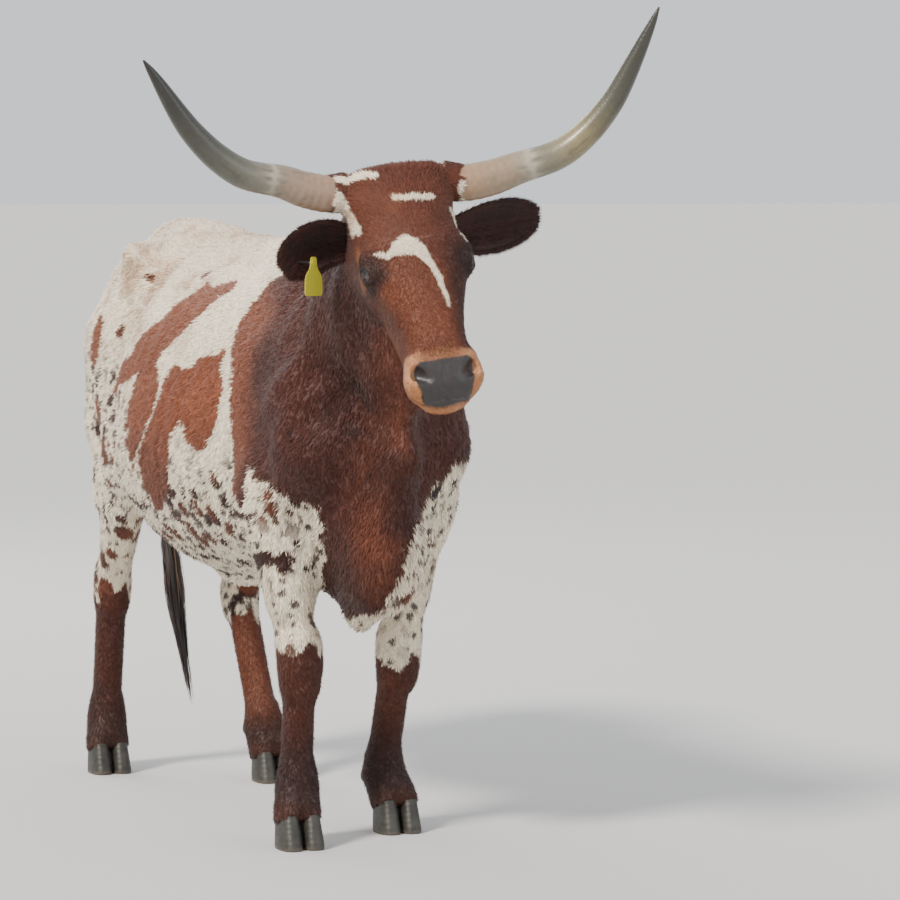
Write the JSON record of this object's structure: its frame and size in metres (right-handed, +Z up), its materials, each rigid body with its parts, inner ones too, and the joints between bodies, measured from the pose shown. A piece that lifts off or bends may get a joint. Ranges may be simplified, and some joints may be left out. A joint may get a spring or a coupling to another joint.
{
  "type": "texas longhorn steer",
  "caption": "Standing texas longhorn steer with wide upturned horns, a red, mahogany and white coat and a yellow tag in its right ear.",
  "frame": {"origin": "middle of the bounding box in plan, on the ground under the hooves", "axes": "+Z up, -Y the way it faces, +X its left side"},
  "size_m": [1.112, 2.1413, 1.8738],
  "materials": {
    "hide": "matte",
    "switch_hair": "matte",
    "horn": "satin",
    "hoof": "matte",
    "eye": "gloss",
    "tag": "matte"
  },
  "bodies": {
    "root": {"ear_left": "hide", "ear_right": "hide", "ear_tag": "tag", "eye_left": "eye", "eye_right": "eye", "fore_left_claw_inner": "hoof", "fore_left_claw_outer": "hoof", "fore_left_dewclaw_inner": "hoof", "fore_left_dewclaw_outer": "hoof", "fore_left_lower": "hide", "fore_left_upper": "hide", "fore_right_claw_inner": "hoof", "fore_right_claw_outer": "hoof", "fore_right_dewclaw_inner": "hoof", "fore_right_dewclaw_outer": "hoof", "fore_right_lower": "hide", "fore_right_upper": "hide", "head": "hide", "hind_left_claw_inner": "hoof", "hind_left_claw_outer": "hoof", "hind_left_dewclaw_inner": "hoof", "hind_left_dewclaw_outer": "hoof", "hind_left_lower": "hide", "hind_left_upper": "hide", "hind_right_claw_inner": "hoof", "hind_right_claw_outer": "hoof", "hind_right_dewclaw_inner": "hoof", "hind_right_dewclaw_outer": "hoof", "hind_right_lower": "hide", "hind_right_upper": "hide", "horn_left": "horn", "horn_right": "horn", "neck": "hide", "tail": "hide", "tail_switch": "switch_hair", "torso": "hide"}
  },
  "joints": []
}
